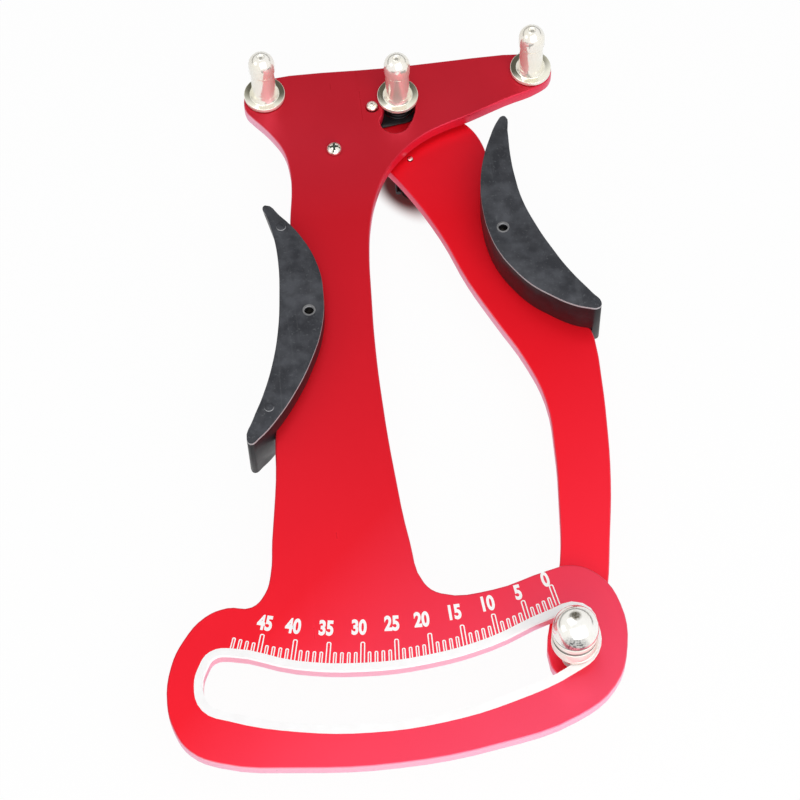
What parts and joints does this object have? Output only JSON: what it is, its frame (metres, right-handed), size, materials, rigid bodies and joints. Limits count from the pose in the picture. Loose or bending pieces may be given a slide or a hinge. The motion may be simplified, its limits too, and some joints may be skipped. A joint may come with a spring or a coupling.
{
  "type": "spoke tension meter",
  "caption": "Hand-squeezed spoke tension meter: flat plate with a curved scale slot, a sprung lever that carries a domed pointer, upright posts that bend a spoke, and moulded grips.",
  "frame": {"origin": "middle of the tool's footprint, at the height of its lowest point, the ends of the pivot pin and the spring pin", "axes": "+X along the spoke that is measured, from the left fixed post to the right one; +Y from the scale to the posts; +Z square to the plates, the way the posts stand"},
  "size_m": [0.1306, 0.2222, 0.0425],
  "materials": {
    "red_plate": "crimson anodised, satin",
    "bright_post": "bright nickel plate, polished",
    "zinc_fastener": "zinc plate, semi-bright",
    "bronze_bush": "turned bronze",
    "white_washer": "natural nylon",
    "black_plastic": "black nylon",
    "grip_plastic": "black moulded nylon, fine texture",
    "black_spring": "oiled black spring wire"
  },
  "bodies": {
    "frame": {"front_plate": "red_plate", "left_post": "bright_post", "right_post": "bright_post", "left_post_screw": "zinc_fastener", "right_post_screw": "zinc_fastener", "pivot_pin": "zinc_fastener", "rear_washer": "white_washer", "spring_spool": "black_plastic", "spring_retainer": "zinc_fastener", "pivot_nut": "zinc_fastener", "torsion_spring": "black_spring", "spring_anchor_post": "zinc_fastener", "spring_anchor_screw": "zinc_fastener", "left_grip": "grip_plastic", "left_grip_pin": "zinc_fastener"},
    "lever": {"lever_plate": "red_plate", "pivot_bush": "bronze_bush", "friction_pad": "black_plastic", "moving_post": "bright_post", "moving_post_screw": "zinc_fastener", "spring_pin": "zinc_fastener", "spring_pin_sleeve": "black_plastic", "right_grip": "grip_plastic", "right_grip_pin": "zinc_fastener", "pointer_stud": "zinc_fastener", "pointer_collar": "white_washer", "pointer_spacer": "zinc_fastener", "pointer_washer": "bright_post", "pointer_cap": "bright_post", "pointer_nut": "zinc_fastener"}
  },
  "joints": [
    {"name": "lever_pivot", "type": "hinge", "parent": "frame", "child": "lever", "pos_m": [0.00829, 0.09643, 0.01554], "axis": [0, 0, -1], "range_deg": [0, 29], "stiffness_Nm_per_rad": 0.5, "springref_deg": -45.84, "deforming": ["torsion_spring"]}
  ]
}
